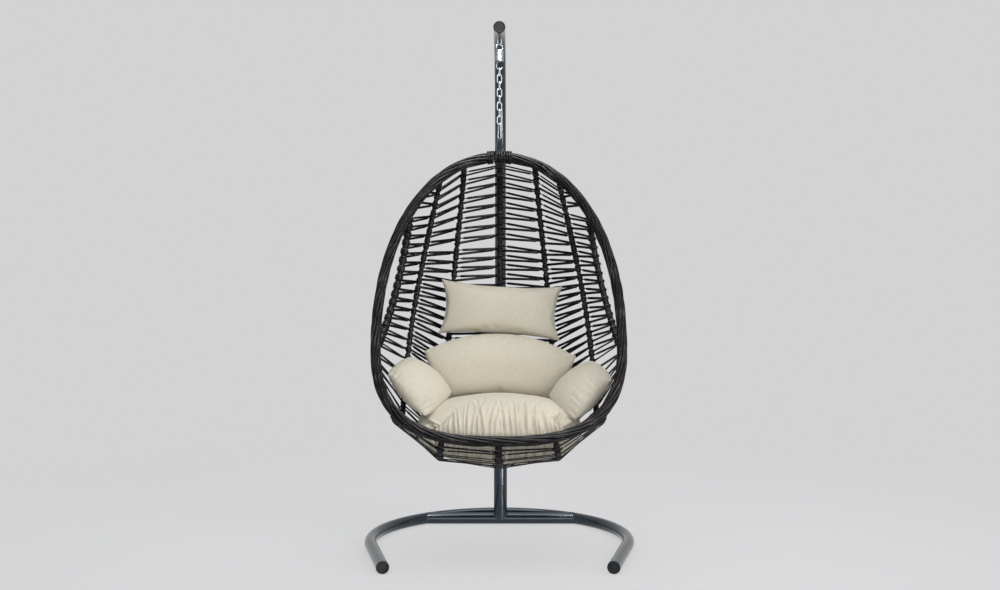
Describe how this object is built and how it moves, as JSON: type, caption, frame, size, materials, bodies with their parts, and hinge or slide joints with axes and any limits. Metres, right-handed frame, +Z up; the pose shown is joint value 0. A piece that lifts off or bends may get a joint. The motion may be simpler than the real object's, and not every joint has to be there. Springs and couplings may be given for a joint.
{
  "type": "hanging egg chair",
  "caption": "Freestanding hanging egg chair: woven wicker basket with loose cushions, hung by a spring and chain from a bowed tube stand.",
  "frame": {"origin": "on the floor, in the middle of the base", "axes": "+Z up, the seat opens towards -Y, +Y towards the post"},
  "size_m": [1.013, 0.9492, 1.9675],
  "materials": {
    "graphite_paint": "gloss powder-coated steel tube",
    "black_plastic": "moulded",
    "zinc_plate": "zinc plated",
    "wicker": "extruded flat strand, satin",
    "canvas": "plain weave"
  },
  "bodies": {
    "stand": {"base_bow": "graphite_paint", "base_crossbar": "graphite_paint", "foot_plug_left": "black_plastic", "foot_plug_right": "black_plastic", "lower_post": "graphite_paint", "post_sleeve": "black_plastic", "lock_bolts": "zinc_plate", "lock_nuts": "zinc_plate", "arm_tube": "graphite_paint", "arm_end_plug": "black_plastic", "arm_eye": "graphite_paint"},
    "link": {"top_link": "zinc_plate"},
    "spring": {"spring": "zinc_plate"},
    "chain_upper": {"chain_upper": "zinc_plate"},
    "chain_lower": {"chain_lower": "zinc_plate", "snap_hook": "zinc_plate", "gate_pin": "zinc_plate"},
    "gate": {"snap_gate": "zinc_plate"},
    "basket": {"bail": "graphite_paint", "front_hoop": "graphite_paint", "hoop_wrap": "wicker", "top_knot": "wicker", "side_hoop_left": "wicker", "side_hoop_right": "wicker", "rib_centre": "wicker", "rib_inner_left": "wicker", "rib_inner_right": "wicker", "rib_outer_left": "wicker", "rib_outer_right": "wicker", "net_inner_left_1": "wicker", "net_inner_left_2": "wicker", "net_inner_left_3": "wicker", "net_inner_left_4": "wicker", "net_inner_right_1": "wicker", "net_inner_right_2": "wicker", "net_inner_right_3": "wicker", "net_inner_right_4": "wicker", "net_middle_left_1": "wicker", "net_middle_left_2": "wicker", "net_middle_left_3": "wicker", "net_middle_left_4": "wicker", "net_middle_right_1": "wicker", "net_middle_right_2": "wicker", "net_middle_right_3": "wicker", "net_middle_right_4": "wicker", "net_outer_left_1": "wicker", "net_outer_left_2": "wicker", "net_outer_left_3": "wicker", "net_outer_right_1": "wicker", "net_outer_right_2": "wicker", "net_outer_right_3": "wicker", "seat_cushion": "canvas", "back_cushion": "canvas", "head_pillow": "canvas", "arm_cushion_left": "canvas", "arm_cushion_right": "canvas"}
  },
  "joints": [
    {"name": "swing_side", "type": "hinge", "parent": "stand", "child": "link", "pos_m": [0, -0.0627, 1.905], "axis": [0, 1, 0], "range_deg": [-12, 12]},
    {"name": "swing_along", "type": "hinge", "parent": "link", "child": "spring", "pos_m": [0, -0.0627, 1.883], "axis": [0.866, -0.5, 0], "range_deg": [-18, 2.5]},
    {"name": "spring_stretch", "type": "slide", "parent": "spring", "child": "chain_upper", "axis": [0, 0, -1], "range_m": [0, 0.04], "stiffness_N_per_m": 20000, "springref_m": -0.0134, "deforming": ["spring"]},
    {"name": "chain_twist", "type": "hinge", "parent": "chain_upper", "child": "chain_lower", "pos_m": [0, -0.0627, 1.68795], "axis": [0, 0, 1], "range_deg": [-20, 20]},
    {"name": "gate_open", "type": "hinge", "parent": "chain_lower", "child": "gate", "pos_m": [0.00401, -0.06965, 1.57667], "axis": [0.866, 0.5, 0], "range_deg": [0, 20], "stiffness_Nm_per_rad": 0.02, "springref_deg": -11.46},
    {"name": "basket_pitch", "type": "hinge", "parent": "chain_lower", "child": "basket", "pos_m": [0, -0.0627, 1.53345], "axis": [1, 0, 0], "range_deg": [-8, 2]}
  ]
}
